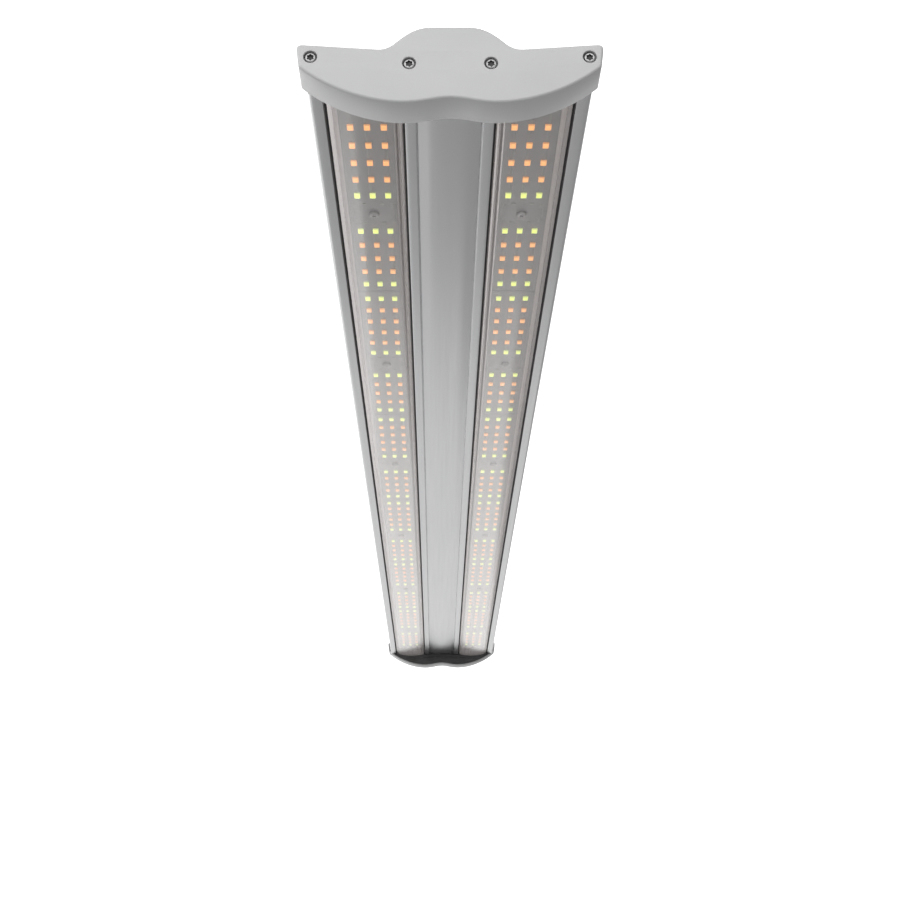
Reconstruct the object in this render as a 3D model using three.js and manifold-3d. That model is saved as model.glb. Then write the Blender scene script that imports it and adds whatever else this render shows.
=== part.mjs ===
// LED grow light: a long extruded bar that hangs over a bench and shines straight down.
// Two covered LED channels run either side of a central spine, the drivers lie in a duct above the
// spine, and two hangers slide in a T-slot along the back.
//
// Millimetres. +X across the bar, +Y along it towards the power inlet, +Z up.
// The origin is below the middle of the whole object, level with the lowest edge of the end caps.
import * as THREE from 'three';
import { mergeVertices } from 'three/addons/utils/BufferGeometryUtils.js';
import Module from 'manifold-3d';

const wasm = await Module();
wasm.setup();

// ---- driving dimensions: the bar ----
const CAP_TO_CAP = 1210;          // length over the two end caps
const CAP_DEPTH = 16.2;           // how far each cap reaches along the bar
const INLET_REACH = 12;           // how far the power inlet stands past the rear cap
const TOTAL_LENGTH = CAP_TO_CAP + INLET_REACH;
const FRONT_FACE = -TOTAL_LENGTH / 2;
const REAR_FACE = FRONT_FACE + CAP_TO_CAP;
const BODY_FRONT = FRONT_FACE + CAP_DEPTH;
const BODY_REAR = REAR_FACE - CAP_DEPTH;
const BAR_MIDDLE = (FRONT_FACE + REAR_FACE) / 2;
const FIT = 0.25;                 // clearance between neighbouring pieces

// ---- driving dimensions: the extrusion's section (x across, z up) ----
const BODY_HALF_WIDTH = 58.2;
const SPINE_Z = 13;               // underside of the central spine
const SPINE_HALF_WIDTH = 9.4;
const SLOPE_TOP_Z = 14.4;         // where the spine's slope meets the inner flange
const FLANGE_INNER_X = 14.1;      // inner flange, between the spine and the LED channel
const FLANGE_Z = 12.3;
const CHANNEL_INNER_X = 18.8;     // LED channel between its two walls
const CHANNEL_OUTER_X = 52.3;
const CHANNEL_CEILING_Z = 20.3;   // seat of the LED boards
const RIM_Z = 13.6;               // underside of the outer flange
const LEDGE_TOP_Z = 16.4;         // ledges that the covers' hooks rest on
const INNER_LEDGE_Z = 15;
const INNER_LEDGE_X = 21.2;
const OUTER_LEDGE_Z = 15.4;
const OUTER_LEDGE_X = 51.3;
const HUMP_TOP_Z = 32.4;
const SLOT_MOUTH_HALF = 3.4;      // T-slot along the hump
const SLOT_HALF = 6.8;
const SLOT_LIP = 1.6;
const SLOT_FLOOR_Z = 27.8;
const PORTS = [[16.4, 17.9], [55.9, 20.8]];  // screw ports, also the cap screws' places
const PORT_RADIUS = 1.5;
const EDGE = 0.3;                 // chamfer on the flanges' edges

// ---- driving dimensions: LED boards ----
const BOARD_CENTRE_X = 35.4;
const BOARD_WIDTH = 24.2;
const BOARD_FACE_Z = 18.6;
const BOARD_THICKNESS = 1.5;
const BOARDS_PER_SIDE = 6;
const ROW_PITCH = 15.21;
const ROWS_BEFORE_SCREW = 6;
const ROWS_AFTER_SCREW = 5;
const SCREW_GAP = 36.1;           // between the two rows either side of the board's screw
const JOINT_GAP = 18.65;          // between the last row of a board and the first of the next
const BOARD_PITCH = (ROWS_BEFORE_SCREW + ROWS_AFTER_SCREW - 2) * ROW_PITCH + SCREW_GAP + JOINT_GAP;
const BOARD_LENGTH = BOARD_PITCH - 2 * FIT;
const BOARDS_OFFSET = -5;         // the boards sit a little towards the front cap
const BOARDS_START = BAR_MIDDLE + BOARDS_OFFSET - BOARDS_PER_SIDE * BOARD_PITCH / 2;
const LED_COLUMN_PITCH = 7.25;
const LED_COLUMNS = 3;
const LED_SIZE = [2.8, 4.2, 0.7];  // across, along, and down from the board
const BOARD_SCREW_Y = JOINT_GAP / 2 + (ROWS_BEFORE_SCREW - 1) * ROW_PITCH + SCREW_GAP / 2;
const BOARD_SCREW_HEAD = 2.5;
const BOARD_SCREW_SHANK = 1.2;

// ---- driving dimensions: end caps, their gaskets and screws ----
const CAP_FACE = 3;               // thickness of a cap's end face
const CAP_RIM_WALL = 1.3;         // wall around the gasket
const CAP_WALL = 3.4;             // wall behind the gasket
const POCKET_DEPTH = 3.4;         // pocket that holds the gasket
const BOSS_RADIUS = 3.4;
const COUNTERBORE_RADIUS = 2.8;
const COUNTERBORE_DEPTH = 2.1;
const CAP_SCREW_HEAD = 2.35;
const CAP_SCREW_SHANK = 1.2;
const CAP_SCREW_LENGTH = 25;
const INLET_Z = 19;
const VENT_PLACE = [34, 13];

// ---- driving dimensions: drivers and leads ----
const DRIVER_HALF_WIDTH = 11.3;
const DRIVER_LOW_Z = 17.5;
const DRIVER_HIGH_Z = 25.9;
const DRIVER_END_SPACE = 26;      // from the end of the body to a driver
const DRIVER_GAP = 40;            // between the two drivers
const LEAD_X = 30;                // where each board lead leaves its channel
const LEAD_RADIUS = 1.1;
const INLET_LEAD_RADIUS = 2.2;

// ---- driving dimensions: hangers ----
const HANGER_SPREAD = 600;        // between the two hangers
const BRACKET_THICKNESS = 2;
const BRACKET_HALF_WIDTH = 14;
const BRACKET_HALF_LENGTH = 11;
const BRACKET_Z = HUMP_TOP_Z + FIT;
const PIVOT_Z = 42;               // the bail's pivot in the bracket's ears
const EAR_RADIUS = 4.6;
const EAR_HOLE = 1.9;
const BAIL_WIRE = 1.5;            // radius of the wire
const BAIL_HALF_WIDTH = 17;
const BAIL_CROWN = 8;             // half width and radius of the bail's crown
const BAIL_HEIGHT = 48;
const STUD_RADIUS = 2.5;

// ---- materials ----
const materials = {
  anodised: new THREE.MeshStandardMaterial({ color: 0xa9aaac, roughness: 0.38, metalness: 0.85 }),
  cap: new THREE.MeshStandardMaterial({ color: 0xc9cacb, roughness: 0.55, metalness: 0.1 }),
  rubber: new THREE.MeshStandardMaterial({ color: 0x1d1b1c, roughness: 0.8, metalness: 0 }),
  cover: new THREE.MeshStandardMaterial({
    color: 0xf2efef, roughness: 0.15, metalness: 0, transparent: true, opacity: 0.35,
  }),
  board: new THREE.MeshStandardMaterial({ color: 0x8f8b93, roughness: 0.5, metalness: 0 }),
  steel: new THREE.MeshStandardMaterial({ color: 0xb9bcbf, roughness: 0.3, metalness: 1 }),
  driver: new THREE.MeshStandardMaterial({ color: 0xd7d8d4, roughness: 0.5, metalness: 0.2 }),
  plastic: new THREE.MeshStandardMaterial({ color: 0x202124, roughness: 0.45, metalness: 0 }),
  lead: new THREE.MeshStandardMaterial({ color: 0xd8d8d6, roughness: 0.5, metalness: 0 }),
};

const light = new THREE.Group();

function addPiece(name, geometry, material, parent = light) {
  const mesh = new THREE.Mesh(geometry, materials[material]);
  mesh.name = name;
  parent.add(mesh);
  return mesh;
}

// ---- shape helpers ----

// A closed shape from a path that runs up the +X half from the centre line to the centre line.
function mirroredPoints(half) {
  const other = half.filter((p) => p.x > 1e-6).reverse();
  return [...half, ...other.map((p) => new THREE.Vector2(-p.x, p.y))];
}

function polygon(corners) {
  return new THREE.Shape(corners.map(([x, z]) => new THREE.Vector2(x, z)));
}

// A shape on one side of the bar: side is 1 for +X and -1 for -X.
function sideShape(points, side) {
  return new THREE.Shape(points.map((p) => new THREE.Vector2(side * p.x, p.y)));
}

// Moves every corner of a counter-clockwise outline inwards by a distance.
function inset(points, distance) {
  return points.map((point, i) => {
    const before = points[(i + points.length - 1) % points.length];
    const after = points[(i + 1) % points.length];
    const along = point.clone().sub(before).normalize();
    const onward = after.clone().sub(point).normalize();
    const normal = new THREE.Vector2(-along.y - onward.y, along.x + onward.x).normalize();
    const reach = distance / normal.dot(new THREE.Vector2(-along.y, along.x));
    return point.clone().addScaledVector(normal, reach);
  });
}

function circlePath(x, z, radius) {
  return new THREE.Path().absarc(x, z, radius, 0, 2 * Math.PI, true);
}

// A section in x and z, drawn out along y.
function prism(shape, yLow, yHigh, curveSegments = 8) {
  const settings = { depth: yHigh - yLow, bevelEnabled: false, curveSegments };
  const geometry = new THREE.ExtrudeGeometry(shape, settings);
  geometry.rotateX(Math.PI / 2);
  geometry.translate(0, yHigh, 0);
  return geometry;
}

// A turned piece: the profile is [radius, distance] and its axis lies along y or z.
function turned(profile, segments = 12) {
  return new THREE.LatheGeometry(profile.map(([r, d]) => new THREE.Vector2(r, d)), segments);
}

function tube(points, radius, steps) {
  const sides = 6;
  const ring = new THREE.Shape().absarc(0, 0, radius, 0, 2 * Math.PI);
  const route = new THREE.CatmullRomCurve3(points.map((p) => new THREE.Vector3(...p)));
  const settings = { steps, bevelEnabled: false, extrudePath: route, curveSegments: sides / 2 };
  return new THREE.ExtrudeGeometry(ring, settings);
}

function toSolid(geometry) {
  const bare = geometry.clone();
  bare.deleteAttribute('normal');
  bare.deleteAttribute('uv');
  const merged = mergeVertices(bare, 1e-4);
  return new wasm.Manifold(new wasm.Mesh({
    numProp: 3,
    vertProperties: Float32Array.from(merged.attributes.position.array),
    triVerts: Uint32Array.from(merged.index.array),
  }));
}

function toGeometry(solid) {
  const mesh = solid.getMesh();
  const geometry = new THREE.BufferGeometry();
  geometry.setAttribute('position', new THREE.BufferAttribute(Float32Array.from(mesh.vertProperties), 3));
  geometry.setIndex(new THREE.BufferAttribute(Uint32Array.from(mesh.triVerts), 1));
  geometry.computeVertexNormals();
  return geometry;
}

function rodAlongY(x, z, radius, yLow, yHigh, segments = 16) {
  const geometry = new THREE.CylinderGeometry(radius, radius, yHigh - yLow, segments);
  geometry.translate(x, (yLow + yHigh) / 2, z);
  return toSolid(geometry);
}

// ---- outlines ----

// The end caps' outline, from the dip under the spine round to the flat of the hump.
function capOutline(rounded) {
  const half = new THREE.Path();
  half.moveTo(0, 2.2);
  half.bezierCurveTo(6, 2.2, 11, 0, 18.5, 0);
  half.bezierCurveTo(33, 0, 49, 6.2, 60.6, 16.3);
  if (rounded) {
    half.lineTo(61.7, 24.9);
    half.quadraticCurveTo(61.95, 26.95, 59.9, 26.8);
  } else {
    half.lineTo(61.95, 26.95);
  }
  half.lineTo(29.5, 24.7);
  half.bezierCurveTo(25, 24.4, 23, 26.9, 20.5, 29.1);
  half.bezierCurveTo(17.3, 31.9, 13.5, 34.9, 8, 34.9);
  half.lineTo(0, 34.9);
  return mirroredPoints(half.getPoints(6));
}

// The wing's upper face rises gently outwards; flutes are cut into it.
function wingZ(x) {
  return 22.4 + (x - 29) * 0.07;
}

function addFlutes(path) {
  const flutePitch = 2.8;
  const fluteHalfWidth = 0.7;
  const fluteDepth = 0.9;
  for (let i = 5; i >= 0; i -= 1) {
    const x = 39.5 + i * flutePitch;
    path.lineTo(x + fluteHalfWidth, wingZ(x));
    path.lineTo(x + fluteHalfWidth, wingZ(x) - fluteDepth);
    path.lineTo(x - fluteHalfWidth, wingZ(x) - fluteDepth);
    path.lineTo(x - fluteHalfWidth, wingZ(x));
  }
}

// The extrusion's outer boundary on the +X side, from the spine round to the T-slot.
function housingHalf() {
  const grooveHalfWidth = 1.45;
  const grooveTop = 21.9;
  const lowRound = 1.6;
  const highRound = 1.2;
  const topZ = wingZ(BODY_HALF_WIDTH);
  const half = new THREE.Path();
  half.moveTo(0, SPINE_Z);
  half.lineTo(SPINE_HALF_WIDTH, SPINE_Z);
  half.lineTo(FLANGE_INNER_X - EDGE, SLOPE_TOP_Z);
  half.lineTo(FLANGE_INNER_X, SLOPE_TOP_Z);
  half.lineTo(FLANGE_INNER_X, FLANGE_Z + EDGE);
  half.lineTo(FLANGE_INNER_X + EDGE, FLANGE_Z);
  half.lineTo(CHANNEL_INNER_X - EDGE, FLANGE_Z);
  half.lineTo(CHANNEL_INNER_X, FLANGE_Z + EDGE);
  half.lineTo(CHANNEL_INNER_X, INNER_LEDGE_Z);
  half.lineTo(INNER_LEDGE_X, INNER_LEDGE_Z);
  half.lineTo(INNER_LEDGE_X, LEDGE_TOP_Z);
  half.lineTo(CHANNEL_INNER_X, LEDGE_TOP_Z);
  half.lineTo(CHANNEL_INNER_X, CHANNEL_CEILING_Z);
  half.lineTo(BOARD_CENTRE_X - grooveHalfWidth, CHANNEL_CEILING_Z);
  half.lineTo(BOARD_CENTRE_X - grooveHalfWidth, grooveTop);
  half.lineTo(BOARD_CENTRE_X + grooveHalfWidth, grooveTop);
  half.lineTo(BOARD_CENTRE_X + grooveHalfWidth, CHANNEL_CEILING_Z);
  half.lineTo(CHANNEL_OUTER_X, CHANNEL_CEILING_Z);
  half.lineTo(CHANNEL_OUTER_X, LEDGE_TOP_Z);
  half.lineTo(OUTER_LEDGE_X, LEDGE_TOP_Z);
  half.lineTo(OUTER_LEDGE_X, OUTER_LEDGE_Z);
  half.lineTo(CHANNEL_OUTER_X, OUTER_LEDGE_Z);
  half.lineTo(CHANNEL_OUTER_X, RIM_Z + EDGE);
  half.lineTo(CHANNEL_OUTER_X + EDGE, RIM_Z);
  half.lineTo(BODY_HALF_WIDTH - lowRound, RIM_Z);
  half.quadraticCurveTo(BODY_HALF_WIDTH, RIM_Z, BODY_HALF_WIDTH, RIM_Z + lowRound);
  half.lineTo(BODY_HALF_WIDTH, topZ - highRound);
  half.quadraticCurveTo(BODY_HALF_WIDTH, topZ, BODY_HALF_WIDTH - highRound, topZ);
  addFlutes(half);
  half.lineTo(29, wingZ(29));
  half.bezierCurveTo(24.6, 22.1, 22.2, 24.4, 19.4, 27);
  half.bezierCurveTo(16.4, 29.8, 12.8, HUMP_TOP_Z, 8, HUMP_TOP_Z);
  half.lineTo(SLOT_MOUTH_HALF, HUMP_TOP_Z);
  half.lineTo(SLOT_MOUTH_HALF, HUMP_TOP_Z - SLOT_LIP);
  half.lineTo(SLOT_HALF, HUMP_TOP_Z - SLOT_LIP);
  half.lineTo(SLOT_HALF, SLOT_FLOOR_Z);
  half.lineTo(0, SLOT_FLOOR_Z);
  return half.getPoints(6);
}

// The wiring duct inside the hump.
const DUCT_HALF = [
  [0, 15.2], [8.4, 15.2], [12.6, 18.2], [12.6, 21.2], [16.8, 22.4], [17.2, 24.2],
  [15.4, 26.6], [11.8, 29.3], [9.2, 28.9], [8.6, 26.3], [0, 26.3],
];

function makeHousing() {
  const section = new THREE.Shape(mirroredPoints(housingHalf()));
  const duct = DUCT_HALF.map(([x, z]) => new THREE.Vector2(x, z));
  section.holes.push(new THREE.Path(mirroredPoints(duct)));
  for (const [x, z] of PORTS) {
    section.holes.push(circlePath(x, z, PORT_RADIUS), circlePath(-x, z, PORT_RADIUS));
  }
  addPiece('housing', prism(section, BODY_FRONT, BODY_REAR, 6), 'anodised');
}

// ---- LED channels ----

// A clear cover: a shallow lens with a hooked leg near each edge.
const COVER_INNER_X = 20.05;
const COVER_OUTER_X = 50.9;
const COVER_LEG_X = 21.5;         // the inner leg stands back from the cover's edge, clear of the ledge
const COVER_THICKNESS = 1.3;
const COVER_INNER_EDGE_Z = 13;
const COVER_OUTER_EDGE_Z = 13.8;
const COVER_BOW_Z = 9;            // control height of the lens's curve
const COVER_TOP_Z = 17.9;
const HOOK_Z = LEDGE_TOP_Z + FIT;

function coverSection() {
  const middle = (COVER_INNER_X + COVER_OUTER_X) / 2;
  const outerLeg = COVER_OUTER_X - COVER_THICKNESS;
  const innerLeg = COVER_LEG_X + COVER_THICKNESS;
  const section = new THREE.Path();
  section.moveTo(COVER_INNER_X, COVER_INNER_EDGE_Z);
  section.quadraticCurveTo(middle, COVER_BOW_Z, COVER_OUTER_X, COVER_OUTER_EDGE_Z);
  section.lineTo(COVER_OUTER_X, HOOK_Z);
  section.lineTo(CHANNEL_OUTER_X - FIT, HOOK_Z);
  section.lineTo(CHANNEL_OUTER_X - FIT, COVER_TOP_Z);
  section.lineTo(outerLeg, COVER_TOP_Z);
  section.lineTo(outerLeg, COVER_OUTER_EDGE_Z + COVER_THICKNESS);
  section.quadraticCurveTo(middle, COVER_BOW_Z + 1.5 * COVER_THICKNESS,
    innerLeg, COVER_INNER_EDGE_Z + COVER_THICKNESS);
  section.lineTo(innerLeg, COVER_TOP_Z);
  section.lineTo(CHANNEL_INNER_X + FIT, COVER_TOP_Z);
  section.lineTo(CHANNEL_INNER_X + FIT, HOOK_Z);
  section.lineTo(COVER_LEG_X, HOOK_Z);
  section.lineTo(COVER_LEG_X, COVER_INNER_EDGE_Z + COVER_THICKNESS);
  section.lineTo(COVER_INNER_X, COVER_INNER_EDGE_Z + COVER_THICKNESS);
  return section.getPoints(10);
}

// Rubber strips between a cover's edges and the channel walls: low and high corner of each section.
const SEALS = {
  inner: [CHANNEL_INNER_X + FIT, 13.1, COVER_INNER_X - FIT, INNER_LEDGE_Z - FIT],
  outer: [COVER_OUTER_X + FIT, 14, CHANNEL_OUTER_X - FIT, OUTER_LEDGE_Z - FIT],
};

// The places of a board's LED rows, along the bar from half a joint gap before the first row.
function ledRows() {
  const rows = [];
  for (let i = 0; i < ROWS_BEFORE_SCREW + ROWS_AFTER_SCREW; i += 1) {
    const afterScrew = i < ROWS_BEFORE_SCREW ? 0 : SCREW_GAP - ROW_PITCH;
    rows.push(JOINT_GAP / 2 + i * ROW_PITCH + afterScrew);
  }
  return rows;
}

// A board with its LED packages, in its own frame: middle of its width, start of its length.
function boardGeometry() {
  const halfWidth = BOARD_WIDTH / 2;
  const sunk = 0.2;
  const outline = polygon([
    [-halfWidth, FIT], [halfWidth, FIT], [halfWidth, FIT + BOARD_LENGTH], [-halfWidth, FIT + BOARD_LENGTH],
  ]);
  outline.holes.push(circlePath(0, BOARD_SCREW_Y, BOARD_SCREW_SHANK + 0.4));
  const settings = { depth: BOARD_THICKNESS, bevelEnabled: false, curveSegments: 5 };
  const [across, along, down] = LED_SIZE;
  let board = toSolid(new THREE.ExtrudeGeometry(outline, settings));
  for (const y of ledRows()) {
    for (let column = 0; column < LED_COLUMNS; column += 1) {
      const led = new THREE.BoxGeometry(across, along, down + sunk);
      const x = (column - (LED_COLUMNS - 1) / 2) * LED_COLUMN_PITCH;
      led.translate(x, y, (sunk - down) / 2);
      board = board.add(toSolid(led));
    }
  }
  return toGeometry(board);
}

function makeBoardScrew(name, side, y) {
  const headHeight = 1.5;
  const headTop = BOARD_FACE_Z - FIT;
  const profile = [
    [0, 21.6], [BOARD_SCREW_SHANK, 21.6], [BOARD_SCREW_SHANK, headTop], [BOARD_SCREW_HEAD, headTop],
    [BOARD_SCREW_HEAD - 0.6, headTop - headHeight], [1, headTop - headHeight],
    [0, headTop - headHeight + 0.9],
  ];
  const geometry = turned(profile.reverse(), 10);
  geometry.rotateX(Math.PI / 2);
  addPiece(name, geometry, 'steel').position.set(side * BOARD_CENTRE_X, y, 0);
}

function makeChannel(sideName, side) {
  addPiece(`cover_${sideName}`, prism(sideShape(coverSection(), side), BODY_FRONT, BODY_REAR), 'cover');
  for (const [place, [xLow, zLow, xHigh, zHigh]] of Object.entries(SEALS)) {
    const corners = [[xLow, zLow], [xHigh, zLow], [xHigh, zHigh], [xLow, zHigh]];
    const section = polygon(corners.map(([x, z]) => [side * x, z]));
    addPiece(`seal_${sideName}_${place}`, prism(section, BODY_FRONT, BODY_REAR), 'rubber');
  }
  for (let i = 0; i < BOARDS_PER_SIDE; i += 1) {
    const start = BOARDS_START + i * BOARD_PITCH;
    const board = addPiece(`led_board_${sideName}_${i + 1}`, boardGeometry(), 'board');
    board.position.set(side * BOARD_CENTRE_X, start, BOARD_FACE_Z);
    makeBoardScrew(`board_screw_${sideName}_${i + 1}`, side, start + BOARD_SCREW_Y);
  }
}

// ---- end caps: a cap's depths run from its end face (0) towards the bar ----

// Draws a shape out between two depths of the cap whose face is at faceY.
function slab(shape, faceY, inward, depthLow, depthHigh) {
  const ends = [faceY + inward * depthLow, faceY + inward * depthHigh];
  return toSolid(prism(shape, Math.min(...ends), Math.max(...ends)));
}

function capRod(x, z, radius, faceY, inward, depthLow, depthHigh) {
  const ends = [faceY + inward * depthLow, faceY + inward * depthHigh];
  return rodAlongY(x, z, radius, Math.min(...ends), Math.max(...ends));
}

function screwPlaces() {
  return PORTS.flatMap(([x, z]) => [[-x, z], [x, z]]);
}

function makeEndCap(name, faceY, inward, openings) {
  const sharp = capOutline(false);
  let cap = slab(new THREE.Shape(capOutline(true)), faceY, inward, 0, CAP_DEPTH);
  const pocket = new THREE.Shape(inset(sharp, CAP_RIM_WALL));
  const cavity = new THREE.Shape(inset(sharp, CAP_WALL));
  const pocketFloor = CAP_DEPTH - POCKET_DEPTH;
  cap = cap.subtract(slab(pocket, faceY, inward, pocketFloor, CAP_DEPTH + 1));
  cap = cap.subtract(slab(cavity, faceY, inward, CAP_FACE, pocketFloor + 1));
  for (const [x, z] of screwPlaces()) {
    cap = cap.add(capRod(x, z, BOSS_RADIUS, faceY, inward, CAP_FACE - 1, pocketFloor));
  }
  for (const [x, z] of screwPlaces()) {
    cap = cap.subtract(capRod(x, z, CAP_SCREW_SHANK + 0.3, faceY, inward, -1, CAP_DEPTH));
    cap = cap.subtract(capRod(x, z, COUNTERBORE_RADIUS, faceY, inward, -1, COUNTERBORE_DEPTH));
  }
  for (const [x, z, radius] of openings) {
    cap = cap.subtract(capRod(x, z, radius, faceY, inward, -1, CAP_FACE + 1));
  }
  addPiece(name, toGeometry(cap), 'cap');
}

// The lower half of the body's envelope, which the gasket's raised rib follows.
function envelopeOutline() {
  const half = new THREE.Path();
  half.moveTo(0, SPINE_Z);
  half.lineTo(SPINE_HALF_WIDTH, SPINE_Z);
  half.lineTo(FLANGE_INNER_X, FLANGE_Z);
  half.lineTo(COVER_INNER_X, FLANGE_Z);
  half.quadraticCurveTo((COVER_INNER_X + COVER_OUTER_X) / 2, COVER_BOW_Z, COVER_OUTER_X, RIM_Z);
  half.lineTo(BODY_HALF_WIDTH, RIM_Z);
  half.lineTo(BODY_HALF_WIDTH, 20);
  half.lineTo(0, 20);
  return mirroredPoints(half.getPoints(8));
}

function makeEndGasket(name, faceY, inward) {
  const ribWidth = 1.4;
  const ribHeight = 1.6;
  const plateBack = CAP_DEPTH - POCKET_DEPTH + FIT;
  const plateFace = CAP_DEPTH - FIT;
  const plate = new THREE.Shape(inset(capOutline(false), CAP_RIM_WALL + FIT));
  let gasket = slab(plate, faceY, inward, plateBack, plateFace);
  const ribOuter = new THREE.Shape(inset(envelopeOutline(), -FIT - ribWidth));
  const ribInner = new THREE.Shape(inset(envelopeOutline(), -FIT));
  const reach = BODY_HALF_WIDTH - 1.2;
  const below = polygon([[-reach, 0], [reach, 0], [reach, 15], [-reach, 15]]);
  const rib = slab(ribOuter, faceY, inward, plateFace - 1, plateFace + ribHeight)
    .subtract(slab(ribInner, faceY, inward, plateFace - 2, plateFace + ribHeight + 1))
    .intersect(slab(below, faceY, inward, 0, CAP_DEPTH + ribHeight + 1))
    .intersect(slab(plate, faceY, inward, 0, CAP_DEPTH + ribHeight + 1));
  gasket = gasket.add(rib);
  const ductWindow = polygon([[-10.5, 16.5], [10.5, 16.5], [10.5, 25.5], [-10.5, 25.5]]);
  gasket = gasket.subtract(slab(ductWindow, faceY, inward, 0, CAP_DEPTH + 1));
  for (const side of [-1, 1]) {
    const [near, far] = [side * (LEAD_X - 2.5), side * (LEAD_X + 2.5)];
    const leadWindow = polygon([[near, 13.7], [far, 13.7], [far, 18.2], [near, 18.2]]);
    gasket = gasket.subtract(slab(leadWindow, faceY, inward, 0, CAP_DEPTH + 1));
  }
  for (const [x, z] of screwPlaces()) {
    gasket = gasket.subtract(capRod(x, z, CAP_SCREW_SHANK + 0.3, faceY, inward, 0, CAP_DEPTH + 1));
  }
  addPiece(name, toGeometry(gasket), 'rubber');
}

function makeCapScrew(name, x, z, faceY, inward) {
  const headTop = 0.3;
  const headBase = COUNTERBORE_DEPTH - FIT;
  const tip = headBase + CAP_SCREW_LENGTH;
  const profile = [
    [0, tip], [0.6, tip], [CAP_SCREW_SHANK, tip - 1.2], [CAP_SCREW_SHANK, headBase],
    [CAP_SCREW_HEAD, headBase], [CAP_SCREW_HEAD, headTop + 0.5], [CAP_SCREW_HEAD - 0.6, headTop],
    [1.1, headTop], [0.8, headTop + 0.9], [0, headTop + 0.9],
  ];
  const geometry = turned(profile.reverse(), 12);
  const screw = addPiece(name, geometry, 'steel');
  screw.position.set(x, faceY, z);
  screw.rotation.z = inward > 0 ? 0 : Math.PI;
}

function makeCapSet(sideName, faceY, inward, openings) {
  makeEndCap(`end_cap_${sideName}`, faceY, inward, openings);
  makeEndGasket(`end_gasket_${sideName}`, faceY, inward);
  screwPlaces().forEach(([x, z], i) => {
    makeCapScrew(`cap_screw_${sideName}_${i + 1}`, x, z, faceY, inward);
  });
}

// ---- power inlet and vent in the rear cap ----
const INLET_BODY = 5.8;
const INLET_RIM = 6.4;
const VENT_STEM = 2.8;

function makePowerInlet() {
  const flange = 8.6;
  const socketFloor = 4.5;
  const backEnd = -9;
  const profile = [
    [0, backEnd], [4.5, backEnd], [4.5, -7.4], [INLET_BODY, -7.4], [INLET_BODY, FIT], [flange, FIT],
    [flange, 2.6], [INLET_RIM, 2.6], [INLET_RIM, INLET_REACH], [5.2, INLET_REACH],
    [5.2, socketFloor], [0, socketFloor],
  ];
  let inlet = toSolid(turned(profile, 20));
  const pinCircle = 2.4;
  for (let i = 0; i < 3; i += 1) {
    const turn = i * 2 * Math.PI / 3;
    const pin = new THREE.CylinderGeometry(0.7, 0.7, 3.5, 8);
    pin.translate(pinCircle * Math.cos(turn), socketFloor + 0.9, pinCircle * Math.sin(turn));
    inlet = inlet.add(toSolid(pin));
  }
  addPiece('power_inlet', toGeometry(inlet), 'plastic').position.set(0, REAR_FACE, INLET_Z);

  const nutHalfWidth = 7.5;
  const hexagon = new THREE.Shape();
  for (let i = 0; i < 6; i += 1) {
    const turn = i * Math.PI / 3;
    const corner = nutHalfWidth / Math.cos(Math.PI / 6);
    const place = [corner * Math.cos(turn), INLET_Z + corner * Math.sin(turn)];
    if (i === 0) hexagon.moveTo(...place);
    else hexagon.lineTo(...place);
  }
  hexagon.holes.push(circlePath(0, INLET_Z, INLET_BODY + FIT));
  const nutSeat = REAR_FACE - CAP_FACE - FIT;
  addPiece('inlet_nut', prism(hexagon, nutSeat - 3, nutSeat, 10), 'plastic');
}

function makeVent() {
  const profile = [
    [0, -5.5], [VENT_STEM, -5.5], [VENT_STEM, FIT], [5, FIT], [5, 1.6], [4.2, 2.2], [0, 2.2],
  ];
  const [x, z] = VENT_PLACE;
  addPiece('vent_plug', turned(profile, 14), 'plastic').position.set(x, REAR_FACE, z);
}

// ---- drivers and leads inside the duct ----
function makeDriver(name, yLow, yHigh) {
  const chamfer = 0.8;
  const section = polygon([
    [-DRIVER_HALF_WIDTH + chamfer, DRIVER_LOW_Z], [DRIVER_HALF_WIDTH - chamfer, DRIVER_LOW_Z],
    [DRIVER_HALF_WIDTH, DRIVER_LOW_Z + chamfer], [DRIVER_HALF_WIDTH, DRIVER_HIGH_Z - chamfer],
    [DRIVER_HALF_WIDTH - chamfer, DRIVER_HIGH_Z], [-DRIVER_HALF_WIDTH + chamfer, DRIVER_HIGH_Z],
    [-DRIVER_HALF_WIDTH, DRIVER_HIGH_Z - chamfer], [-DRIVER_HALF_WIDTH, DRIVER_LOW_Z + chamfer],
  ]);
  addPiece(name, prism(section, yLow, yHigh), 'driver');
}

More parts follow.
